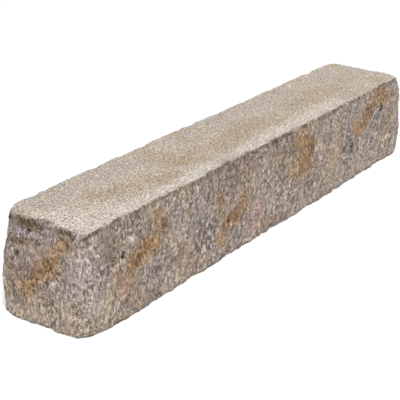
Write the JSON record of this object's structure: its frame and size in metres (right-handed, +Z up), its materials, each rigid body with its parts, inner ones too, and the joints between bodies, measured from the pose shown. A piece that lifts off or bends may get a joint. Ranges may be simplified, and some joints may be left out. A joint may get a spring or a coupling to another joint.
{
  "type": "concrete walling block",
  "caption": "Long low rock-faced walling block of split and rumbled concrete, with flat beds and swelling ends.",
  "frame": {"origin": "middle of the block's outline on the ground, at the level of its lower bed", "axes": "+X along the block from the near end to the far end, +Y from the front long face to the back one, +Z up"},
  "size_m": [0.7499, 0.132, 0.125],
  "materials": {
    "concrete": "rough split face, fine cast beds"
  },
  "bodies": {
    "root": {"walling_block": "concrete"}
  },
  "joints": []
}
